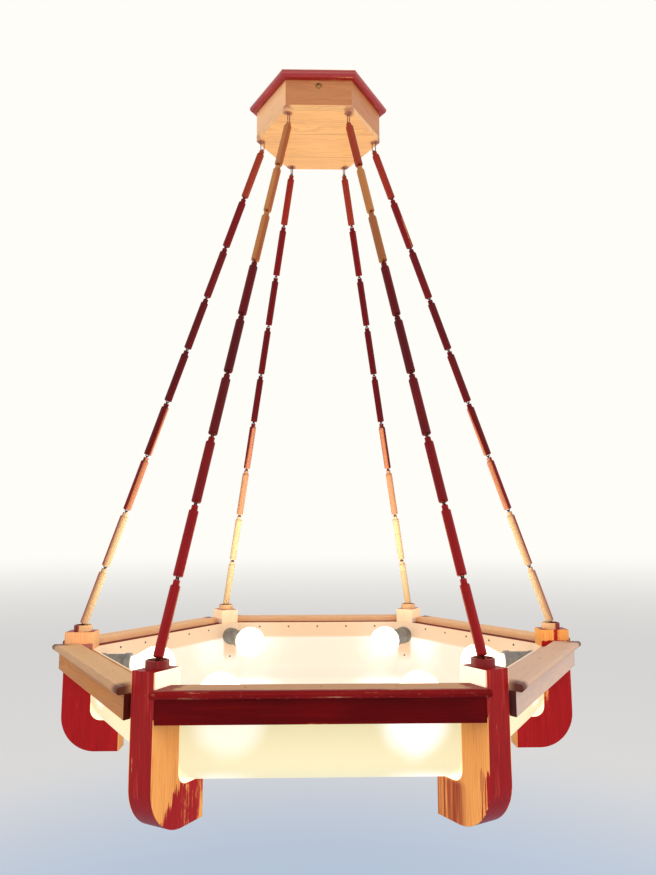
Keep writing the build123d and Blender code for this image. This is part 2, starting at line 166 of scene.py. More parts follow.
class LightStage(bpy.types.PropertyGroup):
    """Camera, floor and light."""

    camera_place: FloatVectorProperty(
        name="Camera place",
        description="Where the camera stands",
        default=(-0.0110, -1.3239, -0.8514),
        size=3,
        subtype="TRANSLATION",
        unit="LENGTH",
    )
    yaw: angle_property("Yaw", "Turn to the right", 1.254)
    pitch: angle_property("Pitch", "Tilt upwards", 7.74)
    roll: angle_property("Roll", "Turn about the view", -0.145)
    lens: FloatProperty(name="Lens", description="Focal length in millimetres", default=29.24, min=1)
    floor_height: length_property("Floor height", "Height of the floor", -2.05)
    wall: colour_property("Backdrop", "Backdrop above the floor", linear(255, 253, 247))
    floor_near: colour_property("Floor", "Floor under the light", linear(252, 252, 253))
    # Painted shade: the blue-grey of the close floor stands in for the room's shade below the lamp.
    floor_close: colour_property("Close floor", "Floor towards the viewer", linear(204, 222, 248))
    world_strength: strength_property("Sky strength", "Even light from all round", 0.68)


# Node helpers


def fill(tree, node, inputs):
    """Links each input of a node, or sets it."""
    for key, value in inputs.items():
        if isinstance(value, bpy.types.NodeSocket):
            tree.links.new(value, node.inputs[key])
        else:
            node.inputs[key].default_value = value


def add(tree, kind, inputs=None, **settings):
    """A new node, its settings made and each input linked or set."""
    made = tree.nodes.new(kind)
    for name, value in settings.items():
        setattr(made, name, value)
    fill(tree, made, inputs or {})
    return made


def maths(tree, operation, a, b=0.0, c=0.0):
    return add(tree, "ShaderNodeMath", {0: a, 1: b, 2: c}, operation=operation).outputs[0]


def times(tree, a, b):
    return maths(tree, "MULTIPLY", a, b)


def plus(tree, a, b):
    return maths(tree, "ADD", a, b)


def less(tree, a, b):
    return maths(tree, "SUBTRACT", a, b)


def most(tree, a, b):
    return maths(tree, "MAXIMUM", a, b)


def size_of(tree, a):
    return maths(tree, "ABSOLUTE", a)


def scaled(tree, value, factor, shift):
    """The value times the factor, plus the shift."""
    return maths(tree, "MULTIPLY_ADD", value, factor, shift)


def vector_maths(tree, operation, a, b=(0, 0, 0)):
    return add(tree, "ShaderNodeVectorMath", {0: a, 1: b}, operation=operation).outputs[0]


def mask(tree, value, low, high):
    """0 below low, 1 above high, smooth between; low may be the larger, which turns it round."""
    turned = low > high
    inputs = {0: value, 1: min(low, high), 2: max(low, high), 3: float(turned), 4: float(not turned)}
    return add(tree, "ShaderNodeMapRange", inputs, interpolation_type="SMOOTHSTEP").outputs[0]


def noise(tree, vector, stretch, detail=2.0, roughness=0.5):
    """Noise of about 0 to 1, with its own frequency, per metre, on each axis."""
    stretched = vector_maths(tree, "MULTIPLY", vector, stretch)
    inputs = {"Vector": stretched, "Scale": 1.0, "Detail": detail, "Roughness": roughness}
    return add(tree, "ShaderNodeTexNoise", inputs).outputs[0]


def mix(tree, factor, a, b, blend="MIX"):
    node = add(tree, "ShaderNodeMix", {0: factor}, data_type="RGBA", blend_type=blend, clamp_factor=True)
    for key, value in ((6, a), (7, b)):
        fill(tree, node, {key: value if isinstance(value, bpy.types.NodeSocket) else (*value, 1.0)})
    return node.outputs[2]


def parts(tree, vector):
    return add(tree, "ShaderNodeSeparateXYZ", {0: vector}).outputs


def joined(tree, x, y, z):
    return add(tree, "ShaderNodeCombineXYZ", {0: x, 1: y, 2: z}).outputs[0]


def object_place(tree):
    return add(tree, "ShaderNodeTexCoord").outputs["Object"]


def shader_group(name, inputs, outputs):
    """An empty shader group with these sockets: its tree, its input sockets and its output node."""
    tree = bpy.data.node_groups.new(name, "ShaderNodeTree")
    for socket, kind, value in inputs:
        made = tree.interface.new_socket(name=socket, in_out="INPUT", socket_type="NodeSocket" + kind)
        if value is not None:
            made.default_value = value
    for socket, kind in outputs:
        tree.interface.new_socket(name=socket, in_out="OUTPUT", socket_type="NodeSocket" + kind)
    return tree, tree.nodes.new("NodeGroupInput").outputs, tree.nodes.new("NodeGroupOutput")


def use(tree, name, inputs):
    """Places a shader group with these values and returns its outputs."""
    placed = tree.nodes.new("ShaderNodeGroup")
    placed.node_tree = bpy.data.node_groups[name]
    fill(tree, placed, inputs)
    return placed.outputs


def in_frame(tree, name):
    """A place in the frame of its side or corner: the group's outputs, then outwards, along and up."""
    local = use(tree, name, {"Vector": object_place(tree)})
    return local, *parts(tree, local["Vector"])


def length_of(tree, vector):
    return add(tree, "ShaderNodeVectorMath", {0: vector}, operation="LENGTH").outputs["Value"]


def on_sector(tree, sector, wanted):
    """1 on the side or corner with this number, counted from 0, and 0 elsewhere."""
    return mask(tree, size_of(tree, less(tree, sector, float(wanted))), 0.5, 0.4)


def give(tree, target, **sources):
    for name, source in sources.items():
        tree.links.new(source, target.inputs[name.replace("_", " ")])


# Shader groups


def side_frame_group():
    """Turns a place into the frame of its nearest side or corner: outwards, along, up."""
    for name, shift in (("Side Frame", 0.0), ("Corner Frame", 0.5)):
        tree, given, out = shader_group(
            name, [("Vector", "Vector", None)], [("Vector", "Vector"), ("Sector", "Float")]
        )
        x, y, z = parts(tree, given["Vector"])
        turn = plus(tree, maths(tree, "DIVIDE", maths(tree, "ARCTAN2", y, x), STEP), shift)
        sector = maths(tree, "WRAP", maths(tree, "FLOOR", turn), float(CORNERS), 0.0)
        middle = times(tree, plus(tree, sector, 0.5 - shift), -STEP)
        turning = {"Vector": given["Vector"], "Angle": middle}
        turned = add(tree, "ShaderNodeVectorRotate", turning, rotation_type="Z_AXIS")
        give(tree, out, Vector=turned.outputs[0], Sector=sector)


def timber_figure_group():
    """Year rings, fibres and broad patches of a board whose grain runs along X."""
    tree, given, out = shader_group(
        "Timber Figure",
        [
            ("Vector", "Vector", None),
            ("Ring Spacing", "Float", 0.004),
            ("Pith", "Float", 0.03),
            ("Seed", "Float", 0.0),
        ],
        [("Figure", "Float"), ("Fibre", "Float"), ("Patch", "Float"), ("Vector", "Vector")],
    )
    shift = [times(tree, given["Seed"], step) for step in (0.173, 0.0071, 0.0113)]
    place = vector_maths(tree, "ADD", given["Vector"], joined(tree, *shift))
    x, y, z = parts(tree, place)
    wander = scaled(tree, noise(tree, place, (2.6, 11, 11), 4, 0.55), 0.060, -0.030)
    across = plus(tree, z, given["Pith"])
    radius = maths(
        tree, "SQRT", plus(tree, maths(tree, "POWER", y, 2.0), maths(tree, "POWER", across, 2.0))
    )
    ring = maths(
        tree, "FRACT", maths(tree, "DIVIDE", plus(tree, radius, wander), given["Ring Spacing"])
    )
    figure = less(tree, mask(tree, ring, 0.20, 0.85), mask(tree, ring, 0.86, 1.0))
    strength = mask(tree, noise(tree, place, (5, 55, 55), 2), 0.25, 0.75)
    figure = times(tree, figure, strength)
    give(
        tree,
        out,
        Figure=figure,
        Fibre=noise(tree, place, (22, 640, 640), 2),
        Patch=noise(tree, place, (6, 26, 26), 3),
        Vector=place,
    )


def worn_stain_group():
    """Where a stain is worn through: streaks along the grain, blotches, and rubbed places."""
    tree, given, out = shader_group(
        "Worn Stain",
        [("Vector", "Vector", None), ("Worn", "Float", 0.3), ("Rub", "Float", 0.0)],
        [("Bare", "Float"), ("Thin", "Float")],
    )
    streak = noise(tree, given["Vector"], (7, 150, 150), 4, 0.6)
    blotch = noise(tree, given["Vector"], (9, 38, 38), 3)
    chip = noise(tree, given["Vector"], (160, 420, 420), 2)
    field = scaled(tree, streak, 0.62, times(tree, blotch, 0.38))
    field = plus(tree, field, scaled(tree, chip, 0.10, -0.05))
    level = plus(tree, field, scaled(tree, given["Rub"], 0.30, -0.5))
    level = plus(tree, level, scaled(tree, given["Worn"], 0.5, -0.25))
    give(tree, out, Bare=mask(tree, level, -0.01, 0.07), Thin=mask(tree, level, -0.22, 0.10))


def fine_wear_group():
    """Smudges and hair scratches for metal and moulded pieces."""
    tree, given, out = shader_group(
        "Fine Wear", [("Vector", "Vector", None)], [("Smudge", "Float"), ("Scratch", "Float")]
    )
    give(
        tree,
        out,
        Smudge=noise(tree, given["Vector"], (70, 70, 70), 4),
        Scratch=noise(tree, given["Vector"], (300, 2400, 900), 2),
    )


# Materials


def material(name, **constants):
    """A new material: its tree and its Principled shader, with the constants set on the shader."""
    made = bpy.data.materials.new(name)
    made.use_nodes = True
    shader = made.node_tree.nodes["Principled BSDF"]
    for key, value in constants.items():
        shader.inputs[key.replace("_", " ")].default_value = value
    return made, made.node_tree, shader


def bump(tree, height, distance, strength=0.6):
    return add(
        tree, "ShaderNodeBump", {"Height": height, "Distance": distance, "Strength": strength}
    ).outputs[0]


def figure_of(tree, vector, pith, seed):
    spacing = bpy.context.scene.light_timber.ring_spacing
    return use(tree, "Timber Figure", {"Vector": vector, "Ring Spacing": spacing, "Pith": pith, "Seed": seed})


def pine_colour(tree, figure):
    """Pine with its rings, fibres and broad shade."""
    timber = bpy.context.scene.light_timber
    line = times(tree, figure["Figure"], 0.62)
    colour = mix(tree, line, tuple(timber.pine), tuple(timber.pine_line))
    fibre = times(tree, mask(tree, figure["Fibre"], 0.50, 0.72), 0.38)
    colour = mix(tree, fibre, colour, tuple(timber.pine_line))
    shade = times(tree, mask(tree, figure["Patch"], 0.42, 0.78), 0.30)
    return mix(tree, shade, colour, linear(176, 98, 44))


def stained_colour(tree, figure, bare, thin, deep=0.0):
    """Red stain over the pine: thick in the pores, thin where it is rubbed, gone where it is bare."""
    timber = bpy.context.scene.light_timber
    stain = mix(tree, deep, tuple(timber.stain), tuple(timber.stain_deep))
    dark = times(tree, mask(tree, figure["Fibre"], 0.45, 0.75), 0.45)
    stain = mix(tree, dark, stain, linear(96, 2, 6))
    line = times(tree, figure["Figure"], 0.30)
    stain = mix(tree, line, stain, linear(116, 4, 8))
    shade = times(tree, mask(tree, figure["Patch"], 0.40, 0.75), 0.35)
    stain = mix(tree, shade, stain, linear(140, 8, 14))
    rubbed = times(tree, thin, 0.28)
    stain = mix(tree, rubbed, stain, linear(188, 34, 30))
    return mix(tree, bare, stain, pine_colour(tree, figure))


def finish_timber(tree, shader, colour, figure, bare=None):
    """Links colour, gloss and relief of a varnished board."""
    gloss = scaled(tree, figure["Fibre"], 0.22, 0.34)
    if bare is not None:
        gloss = scaled(tree, bare, 0.16, gloss)
    relief = scaled(tree, figure["Figure"], 0.35, times(tree, figure["Fibre"], 0.65))
    if bare is not None:
        relief = less(tree, relief, times(tree, bare, 0.5))
    give(tree, shader, Base_Color=colour, Roughness=gloss, Normal=bump(tree, relief, 0.0004))


def box_side_pine():
    made, tree, shader = material("box_side_pine", Coat_Weight=0.25, Coat_Roughness=0.25)
    local, out, along, up = in_frame(tree, "Side Frame")
    seed = scaled(tree, local["Sector"], 1.37, 4.0)
    figure = figure_of(tree, joined(tree, along, up, out), -0.075, seed)
    left = on_sector(tree, local["Sector"], 3)
    # Painted shade: every side but the left is darkened towards brown, so the sides lie darker than the
    # lamp-lit floor.
    painted_side_shade = scaled(tree, left, -0.60, 0.60)
    colour = mix(tree, painted_side_shade, pine_colour(tree, figure), linear(150, 66, 22))
    # Painted light: the left side is lightened towards pale orange.
    colour = mix(tree, times(tree, left, 0.45), colour, linear(255, 208, 160))
    runs = noise(tree, joined(tree, along, up, 0.0), (30, 60, 1), 3)
    edge = plus(tree, up, scaled(tree, runs, 0.018, -0.009))
    low_edge = mask(tree, edge, BOX_BASE + 0.016, BOX_BASE + 0.002)
    colour = mix(tree, times(tree, low_edge, 0.62), colour, linear(190, 74, 50))
    top_edge = mask(tree, edge, -0.022, -0.013)
    colour = mix(tree, times(tree, top_edge, 0.6), colour, linear(172, 60, 44))
    finish_timber(tree, shader, colour, figure)
    return made


def box_floor_pine():
    made, tree, shader = material("box_floor_pine", Coat_Weight=0.25, Coat_Roughness=0.25)
    x, y, z = parts(tree, object_place(tree))
    board_edge, board_width = 0.028, 0.085
    across = maths(tree, "DIVIDE", plus(tree, y, board_edge), board_width)
    board = maths(tree, "FLOOR", across)
    figure = figure_of(tree, joined(tree, x, y, z), 0.12, scaled(tree, board, 2.6, 9.0))
    # Painted light: the whole floor is lightened a quarter towards pale yellow, standing in for the lamps'
    # light from below.
    colour = mix(tree, 0.25, pine_colour(tree, figure), linear(255, 222, 160))
    joint = maths(tree, "FRACT", across)
    seam = mask(tree, size_of(tree, less(tree, joint, 0.5)), 0.487, 0.497)
    colour = mix(tree, times(tree, seam, 0.55), colour, linear(150, 76, 30))
    local, out, along, up = in_frame(tree, "Corner Frame")
    eye = bpy.context.scene.light_rods.eye_radius
    from_eye = vector_maths(tree, "SUBTRACT", joined(tree, out, along, 0.0), (eye + 0.004, 0, 0))
    far = length_of(tree, from_eye)
    ragged = plus(tree, far, scaled(tree, noise(tree, object_place(tree), (90, 90, 90), 3), 0.02, -0.01))
    patch = times(tree, mask(tree, ragged, 0.012, 0.005), 0.7)
    colour = mix(tree, patch, colour, linear(140, 22, 24))
    finish_timber(tree, shader, colour, figure)
    return made


def plain_wood():
    made, tree, shader = material("bearer_wood")
    x, y, z = parts(tree, object_place(tree))
    figure = figure_of(tree, joined(tree, x, y, z), 0.05, 21.0)
    colour = mix(tree, 0.45, pine_colour(tree, figure), linear(170, 132, 92))
    finish_timber(tree, shader, colour, figure)
    return made


def moulding_stain():
    made, tree, shader = material("moulding_stain", Coat_Weight=0.45, Coat_Roughness=0.16)
    local, out, along, up = in_frame(tree, "Side Frame")
    figure = figure_of(tree, joined(tree, along, up, out), -0.11, plus(tree, local["Sector"], 30.0))
    rub = mask(tree, up, -0.006, 0.0)
    wear = use(tree, "Worn Stain", {"Vector": figure["Vector"], "Worn": 0.34, "Rub": rub})
    colour = stained_colour(tree, figure, wear["Bare"], wear["Thin"])
    finish_timber(tree, shader, colour, figure, wear["Bare"])
    return made


def post_stain(
    name, pine_from=1.0, toe_bare=0.0, top_bare=0.0, streaked=0.0, toe_brown=0.0, glare=0.0, worn=0.24
):
    """A post: stained outside, bare on its inner face and on the stretches that the values name.

    pine_from is the height over the tray's floor above which its sides are bare, falling outwards;
    toe_bare and top_bare bare the toe's sides and the block above the caps; streaked leaves red
    runs near the outer edge; toe_brown tans the toe; glare lights the block above the caps; worn is
    how far the stain is worn through.
    """
    made, tree, shader = material(
        name, Coat_Weight=0.05, Coat_Roughness=0.22, Specular_IOR_Level=0.15, Emission_Strength=1.0
    )
    local, out, along, up = in_frame(tree, "Corner Frame")
    seed = scaled(tree, local["Sector"], 1.9, 40.0)
    figure = figure_of(tree, joined(tree, up, along, out), -0.44, seed)
    side = mask(tree, size_of(tree, along), POST_HALF - 0.0016, POST_HALF - 0.0006)
    ragged = scaled(tree, noise(tree, local["Vector"], (210, 210, 8), 4, 0.6), 0.09, -0.045)
    level = scaled(tree, less(tree, out, POST_INNER_R), 1.1, up)
    level = plus(tree, level, ragged)
    upper = mask(tree, level, TRAY_FLOOR + pine_from - 0.022, TRAY_FLOOR + pine_from + 0.016)
    upper = times(tree, upper, mask(tree, up, RAIL_BASE + 0.005, RAIL_BASE + 0.002))
    toe = times(
        tree,
        mask(tree, out, POST_INNER_R + 0.012, POST_INNER_R - 0.010),
        mask(tree, up, TRAY_FLOOR + 0.006, TRAY_FLOOR - 0.004),
    )
    bare = most(tree, upper, times(tree, toe, toe_bare))
    runs = plus(tree, noise(tree, local["Vector"], (420, 420, 7), 3), -0.62)
    edge = mask(tree, out, POST_OUTER_R - 0.034, POST_OUTER_R - 0.004)
    runs = mask(tree, scaled(tree, edge, 0.23, runs), 0.02, 0.10)
    runs = times(tree, runs, mask(tree, up, TRAY_FLOOR + 0.060, TRAY_FLOOR + 0.01))
    bare = times(tree, bare, scaled(tree, runs, -streaked, 1.0))
    above = mask(tree, up, CAP_TOP - 0.002, CAP_TOP + 0.002)
    bare = most(tree, bare, times(tree, above, top_bare))
    bare = times(tree, bare, side)
    inner = mask(tree, out, POST_INNER_R + 0.0014, POST_INNER_R + 0.0004)
    inner = times(tree, inner, mask(tree, up, TRAY_FLOOR - 0.001, TRAY_FLOOR + 0.001))
    inner = times(tree, inner, less(tree, 1.0, side))
    toe_end = mask(tree, out, POST_TOE_R + 0.0012, POST_TOE_R + 0.0004)
    bare = most(tree, bare, most(tree, inner, toe_end))
    corner = mask(tree, size_of(tree, along), POST_HALF - 0.0030, POST_HALF - 0.0005)
    rim = times(tree, corner, mask(tree, out, POST_OUTER_R - 0.004, POST_OUTER_R - 0.0005))
    rub = scaled(tree, bare, 2.3, times(tree, rim, 0.08))
    wear = use(tree, "Worn Stain", {"Vector": figure["Vector"], "Worn": worn, "Rub": rub})
    colour = stained_colour(tree, figure, wear["Bare"], wear["Thin"])
    # Painted light: the side faces are lightened by about a third.
    colour = mix(tree, side, colour, (1.32, 1.28, 1.28), "MULTIPLY")
    scuff = mask(tree, noise(tree, local["Vector"], (60, 190, 9), 3), 0.56, 0.70)
    scuff = times(tree, scuff, mask(tree, out, POST_OUTER_R - 0.002, POST_OUTER_R - 0.0005))
    colour = mix(tree, times(tree, scuff, 0.55), colour, linear(206, 66, 52))
    tan = mask(tree, noise(tree, local["Vector"], (330, 330, 7), 3), 0.12, 0.62)
    tan = times(tree, times(tree, tan, toe), times(tree, side, toe_brown))
    colour = mix(tree, tan, colour, linear(160, 40, 26))
    # Painted highlight and glow: the faces of the block above the caps are lightened towards white, with a
    # matching glow, by the share that glare gives.
    lit = mask(tree, up, CAP_TOP - 0.012, CAP_TOP - 0.008)
    face = times(tree, side, mask(tree, out, POST_OUTER_R + 0.001, POST_OUTER_R - 0.003))
    face = most(tree, face, mask(tree, out, POST_INNER_R + 0.0014, POST_INNER_R + 0.0004))
    lit = times(tree, times(tree, lit, face), glare)
    colour = mix(tree, lit, colour, linear(255, 246, 228))
    # Painted light: the inner corner of the notch that holds the sheet is painted near white and made to
    # glow.
    notch_glow = less(tree, mask(tree, out, POST_INNER_R + 0.0024, POST_INNER_R + 0.0014), side)
    notch_glow = times(tree, notch_glow, mask(tree, up, TRAY_FLOOR + 0.042, TRAY_FLOOR + 0.030))
    notch_glow = times(tree, notch_glow, mask(tree, up, TRAY_FLOOR - 0.002, TRAY_FLOOR - 0.001))
    shine = mix(tree, lit, (0.0, 0.0, 0.0), linear(196, 180, 150))
    colour = mix(tree, notch_glow, colour, linear(250, 240, 220))
    give(tree, shader, Emission_Color=mix(tree, notch_glow, shine, linear(196, 184, 158)))
    heel = mask(tree, up, TRAY_FLOOR - 0.0485, TRAY_FLOOR - 0.0515)
    heel = times(tree, heel, mask(tree, out, POST_INNER_R, POST_INNER_R + 0.02))
    colour = mix(tree, times(tree, heel, 0.5), colour, linear(214, 190, 184))
    finish_timber(tree, shader, colour, figure, wear["Bare"])
    return made


def from_rail_end(tree, out, along):
    """Distance from the mitred end of a rail and its cap."""
    end_half = scaled(tree, less(tree, out, RAIL_BACK), RAIL_END_SLOPE, RAIL_BACK_HALF)
    return less(tree, end_half, size_of(tree, along))


def rail_stain(name, deep, worn, tone_share=0.0, tone_colour=(0.5, 0.3, 0.2)):
    """A rail: stained, or turned pale towards this colour, partly worn bare and partly a painted reflection,
    with dark end grain.
    """
    made, tree, shader = material(name, Coat_Weight=0.02, Coat_Roughness=0.2, Specular_IOR_Level=0.06)
    local, out, along, up = in_frame(tree, "Side Frame")
    seed = scaled(tree, local["Sector"], 2.3, 60.0)
    figure = figure_of(tree, joined(tree, along, up, out), -0.37, seed)
    low_edge = mask(tree, up, RAIL_BASE + 0.003, RAIL_BASE + 0.0005)
    wear = use(
        tree,
        "Worn Stain",
        {"Vector": figure["Vector"], "Worn": worn, "Rub": times(tree, low_edge, 0.35)},
    )
    colour = stained_colour(tree, figure, wear["Bare"], wear["Thin"], deep)
    cloud = mask(tree, noise(tree, local["Vector"], (14, 11, 24), 3), 0.42, 0.72)
    colour = mix(tree, times(tree, cloud, 0.45), colour, linear(78, 4, 9))
    # Painted reflection: the pale, greyish tone of the two front side rails is partly worn bare wood and
    # partly the sheen of light glancing off their varnish.
    if tone_share:
        plain = mix(tree, 0.72, pine_colour(tree, figure), tone_colour)
        colour = mix(tree, tone_share, colour, plain)
    to_end = from_rail_end(tree, out, along)
    end_grain = times(tree, mask(tree, to_end, 0.0014, 0.0005), 0.94)
    colour = mix(tree, end_grain, colour, linear(74, 4, 12))
    finish_timber(tree, shader, colour, figure, wear["Bare"])
    return made


def cap_stain(name, top_colour, red_nose=0.0, shaded_nose=0.0, tone_share=0.72):
    """A cap: bare on top in this colour, its nosing red, darkened brown with painted shade, or as bare as its
    top, its tips dark.
    """
    made, tree, shader = material(name, Coat_Weight=0.02, Coat_Roughness=0.3, Specular_IOR_Level=0.08)
    local, out, along, up = in_frame(tree, "Side Frame")
    seed = scaled(tree, local["Sector"], 3.1, 80.0)
    figure = figure_of(tree, joined(tree, along, out, up), 1.10, seed)
    wavy = noise(tree, joined(tree, along, 0.0, 0.0), (24, 1, 1), 4)
    nose = plus(tree, out, scaled(tree, wavy, 0.007, -0.0035))
    flat = mask(tree, nose, CAP_NOSE - 0.0085, CAP_NOSE - 0.0125)
    top = times(tree, flat, mask(tree, up, CAP_TOP - 0.0012, CAP_TOP - 0.0002))
    square = from_rail_end(tree, out, along)
    to_end = plus(tree, square, scaled(tree, wavy, 0.03, -0.015))
    ends = mask(tree, to_end, 0.040, 0.008)
    top = times(tree, top, scaled(tree, ends, -red_nose, 1.0))
    inner_edge = mask(tree, out, CAP_NOSE - 0.0415, CAP_NOSE - 0.0428)
    top = most(tree, top, inner_edge)
    rub = times(tree, top, 1.8)
    wear = use(tree, "Worn Stain", {"Vector": figure["Vector"], "Worn": 0.30, "Rub": rub})
    stained = stained_colour(tree, figure, 0.0, wear["Thin"], 0.75)
    chip = mask(tree, noise(tree, local["Vector"], (70, 110, 260), 3), 0.62, 0.74)
    stained = mix(tree, times(tree, chip, 0.35), stained, linear(190, 120, 84))
    bare = mix(tree, tone_share, pine_colour(tree, figure), top_colour)
    blush = mask(tree, noise(tree, local["Vector"], (26, 12, 26), 3), 0.55, 0.75)
    bare = mix(tree, times(tree, blush, 0.30), bare, linear(206, 128, 84))
    # Painted shade: the outer strip of the rounded nosing is darkened brown, as shade falls under the nosing.
    brow = times(tree, mask(tree, nose, CAP_NOSE - 0.0075, CAP_NOSE - 0.0025), shaded_nose)
    bare = mix(tree, brow, bare, linear(134, 82, 46))
    tip = times(tree, mask(tree, square, 0.030, 0.008), mask(tree, nose, CAP_NOSE - 0.034, CAP_NOSE - 0.010))
    bare = mix(tree, times(tree, tip, 0.9), bare, linear(84, 10, 12))
    worn_off = most(tree, wear["Bare"], 1.0 - red_nose)
    colour = mix(tree, worn_off, stained, bare)
    finish_timber(tree, shader, colour, figure, wear["Bare"])
    return made


def cup_stain():
    """Cups: bare on the lamp side and paler there with painted lamp light, the two at the front stained
    nearly all round.
    """
    made, tree, shader = material("cup_stain", Coat_Weight=0.15, Coat_Roughness=0.2, Specular_IOR_Level=0.3)
    local, out, along, up = in_frame(tree, "Corner Frame")
    seed = scaled(tree, local["Sector"], 1.3, 90.0)
    figure = figure_of(tree, joined(tree, up, along, out), -0.43, seed)
    front = mask(tree, local["Sector"], 3.4, 3.6)
    lamp_side = mask(tree, out, CUP_R + 0.007, CUP_R - 0.003)
    shaded = scaled(tree, front, -0.85, 1.0)
    rub = times(tree, times(tree, lamp_side, shaded), 2.2)
    wear = use(tree, "Worn Stain", {"Vector": figure["Vector"], "Worn": 0.12, "Rub": rub})
    colour = stained_colour(tree, figure, wear["Bare"], wear["Thin"], 0.5)
    front_left = on_sector(tree, local["Sector"], 4)
    flank = times(tree, mask(tree, along, -0.003, -0.009), front_left)
    flank = times(tree, flank, 0.6)
    colour = mix(tree, flank, colour, linear(150, 96, 56))
    # Painted lamp light: the lamp side is lightened further towards pale cream.
    tone_share = times(tree, times(tree, lamp_side, shaded), 0.5)
    colour = mix(tree, tone_share, colour, linear(236, 204, 164))
    finish_timber(tree, shader, colour, figure, wear["Bare"])
    return made


def rod_stain():
    """Rods read their own place, wear and side from attributes that the rod tree stores."""
    made, tree, shader = material("rod_stain", Coat_Weight=0.03, Coat_Roughness=0.25, Specular_IOR_Level=0.12)
    place = add(tree, "ShaderNodeAttribute", attribute_name="rod_place").outputs["Vector"]
    kinds = ("rod_lamp_lit", "rod_natural", "rod_worn", "rod_seed", "rod_deep")
    lamp_lit, natural, worn, seed, deep = [
        add(tree, "ShaderNodeAttribute", attribute_name=kind).outputs["Fac"] for kind in kinds
    ]
    x, y, z = parts(tree, place)
    figure = figure_of(tree, joined(tree, z, x, y), 0.02, seed)
    wear = use(tree, "Worn Stain", {"Vector": figure["Vector"], "Worn": worn, "Rub": 0.0})
    stained = stained_colour(tree, figure, wear["Bare"], wear["Thin"], deep)
    stained = mix(tree, times(tree, deep, 0.5), stained, linear(58, 0, 6))
    brown = mix(tree, 0.75, pine_colour(tree, figure), linear(158, 98, 56))
    edge = mask(tree, y, 0.0035, 0.0055)
    brown = mix(tree, times(tree, edge, 0.4), brown, linear(140, 18, 22))
    stained = mix(tree, natural, stained, brown)
    radius = bpy.context.scene.light_rods.radius
    # Painted lamp light: on the lower rods the side towards the lamps turns pale cream, and the far side of
    # that pale part is darkened as painted shade.
    lamp_side = maths(tree, "DIVIDE", x, -radius)
    streak = scaled(tree, noise(tree, figure["Vector"], (9, 160, 160), 3), 0.7, -0.35)
    reach = plus(tree, lamp_side, streak)
    reach = plus(tree, reach, scaled(tree, lamp_lit, 2.4, -1.25))
    bare = times(tree, mask(tree, reach, -0.12, 0.25), mask(tree, lamp_lit, 0.0, 0.06))
    pale = mix(tree, mask(tree, lamp_lit, 0.5, 0.85), linear(176, 112, 80), linear(216, 180, 136))
    pale = mix(tree, mask(tree, lamp_side, -0.9, 0.35), linear(160, 78, 50), pale)
    line = times(tree, figure["Figure"], 0.22)
    pale = mix(tree, line, pale, linear(190, 122, 76))
    colour = mix(tree, bare, stained, pale)
    finish_timber(tree, shader, colour, figure, wear["Bare"])
    return made


def diffuser_sheet():
    """Lit sheet: hot beside the lamps, amber where a rail or a post lies behind it, dimmer inside."""
    glow = bpy.context.scene.light_glow
    made, tree, shader = material("diffuser_sheet", Roughness=0.42, Emission_Strength=glow.sheet_strength)
    place = object_place(tree)
    local, out, along, up = in_frame(tree, "Corner Frame")
    low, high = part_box("bulb_1_glass")
    middle = (low + high) / 2
    lamp = vector_maths(tree, "SUBTRACT", local["Vector"], tuple(middle))
    far = length_of(tree, lamp)
    cloud = noise(tree, place, (9, 9, 9), 3)
    far = plus(tree, far, scaled(tree, cloud, 0.05, -0.025))
    side, side_out, side_along, side_up = in_frame(tree, "Side Frame")
    folded = joined(tree, side_out, size_of(tree, side_along), side_up)
    spot = vector_maths(tree, "SUBTRACT", folded, SPOT)
    spot = length_of(tree, spot)
    spot = plus(tree, spot, scaled(tree, cloud, 0.014, -0.007))
    near = mask(tree, spot, 0.090, 0.073)
    front_left = on_sector(tree, local["Sector"], 4)
    near = times(tree, near, scaled(tree, front_left, -0.5, 1.0))
    below = mask(tree, up, TRAY_FLOOR + 0.020, TRAY_FLOOR + 0.004)
    below = times(tree, below, mask(tree, far, 0.135, 0.095))
    near = most(tree, near, below)
    colour = mix(tree, near, tuple(glow.glow), tuple(glow.hot))
    rail_band = mask(tree, up, RAIL_BASE - 0.003, RAIL_BASE + 0.003)
    flat = mask(tree, out, POST_INNER_R - 0.0055, POST_INNER_R - 0.0035)
    flat = times(tree, flat, mask(tree, up, TRAY_FLOOR + 0.030, TRAY_FLOOR + 0.060))
    post_band = times(tree, flat, mask(tree, size_of(tree, along), POST_HALF, POST_HALF - 0.008))
    wood = most(tree, times(tree, rail_band, 0.85), times(tree, post_band, 0.85))
    facing = add(tree, "ShaderNodeNewGeometry").outputs["Normal"]
    spread = vector_maths(tree, "SUBTRACT", place, (0.0, 0.0, TRAY_FLOOR + 0.05))
    against = add(tree, "ShaderNodeVectorMath", {0: facing, 1: spread}, operation="DOT_PRODUCT")
    inside = against.outputs["Value"]
    halo = mix(tree, mask(tree, far, 0.13, 0.06), tuple(glow.lining), tuple(glow.hot))
    colour = mix(tree, mask(tree, inside, 0.002, -0.002), colour, halo)
    colour = mix(tree, wood, colour, tuple(glow.backed))
    fleck = noise(tree, place, (60, 60, 160), 3)
    colour = mix(tree, times(tree, mask(tree, fleck, 0.55, 0.8), 0.10), colour, linear(236, 190, 130))
    base = mix(tree, times(tree, wood, 0.5), tuple(glow.sheet), linear(150, 92, 50))
    relief = bump(tree, noise(tree, place, (500, 500, 500), 2), 0.0002, 0.3)
    give(tree, shader, Base_Color=base, Emission_Color=colour, Normal=relief)
    return made


